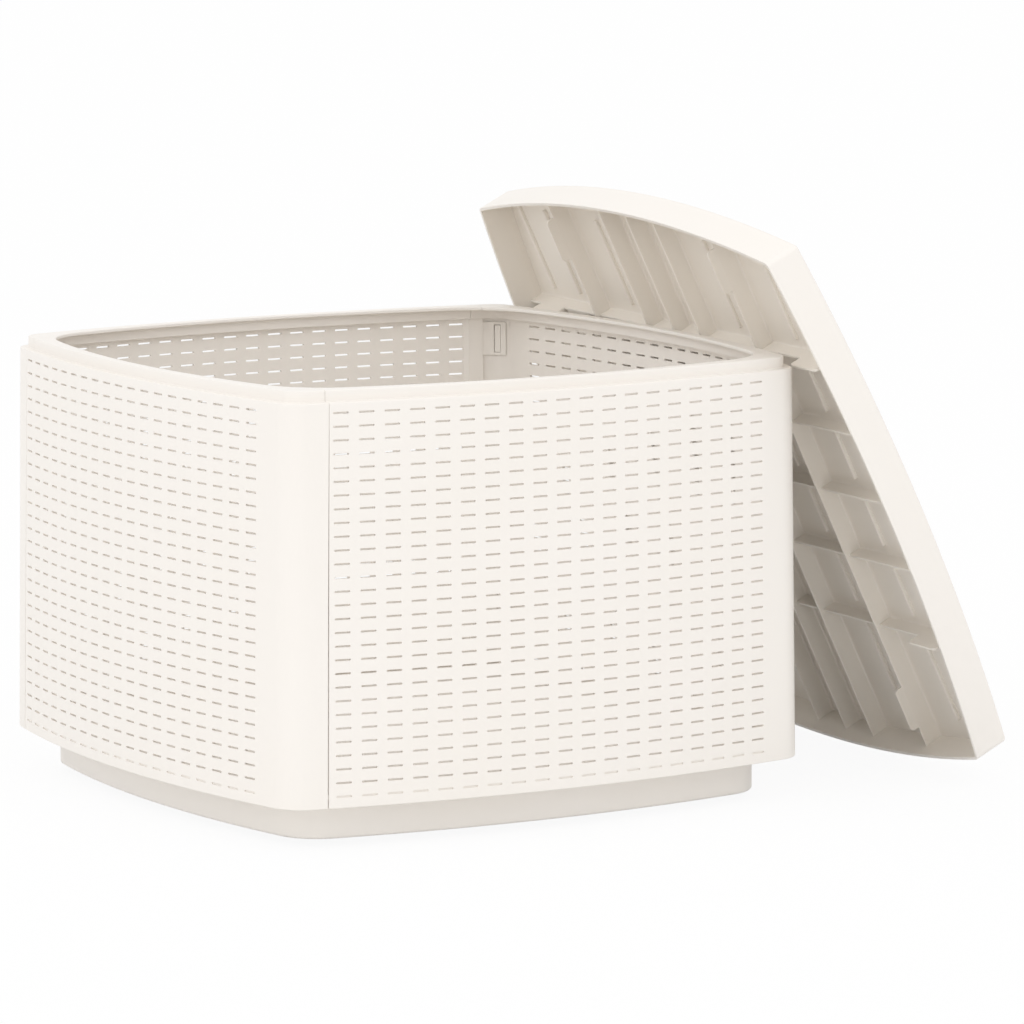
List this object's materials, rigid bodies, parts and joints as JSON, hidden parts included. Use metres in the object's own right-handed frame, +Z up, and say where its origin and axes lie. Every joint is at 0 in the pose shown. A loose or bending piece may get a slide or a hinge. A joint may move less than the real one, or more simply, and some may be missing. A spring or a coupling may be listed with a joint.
{
  "type": "garden storage table",
  "caption": "Square plastic storage table for the garden: bowed woven-look walls on a set-back plinth, and a ribbed lift-off lid that is the table top.",
  "frame": {"origin": "on the floor under the middle of the box, in the plane of its standing rim", "axes": "+Z up, -Y out of the front wall, +X out of the wall that the lid leans on"},
  "size_m": [0.7423, 0.557, 0.4986],
  "materials": {
    "wall_plastic": "satin ivory plastic with a moulded weave",
    "base_plastic": "satin ivory plastic",
    "lid_plastic": "satin ivory plastic"
  },
  "bodies": {
    "box": {"base_tray": "base_plastic", "wall_front": "wall_plastic", "wall_right": "wall_plastic", "wall_back": "wall_plastic", "wall_left": "wall_plastic"},
    "lid": {"lid": "lid_plastic"}
  },
  "joints": [
    {"name": "lid_lift", "type": "slide", "parent": "box", "child": "lid", "axis": [0, 0, 1], "range_m": [0, 0.45]}
  ]
}
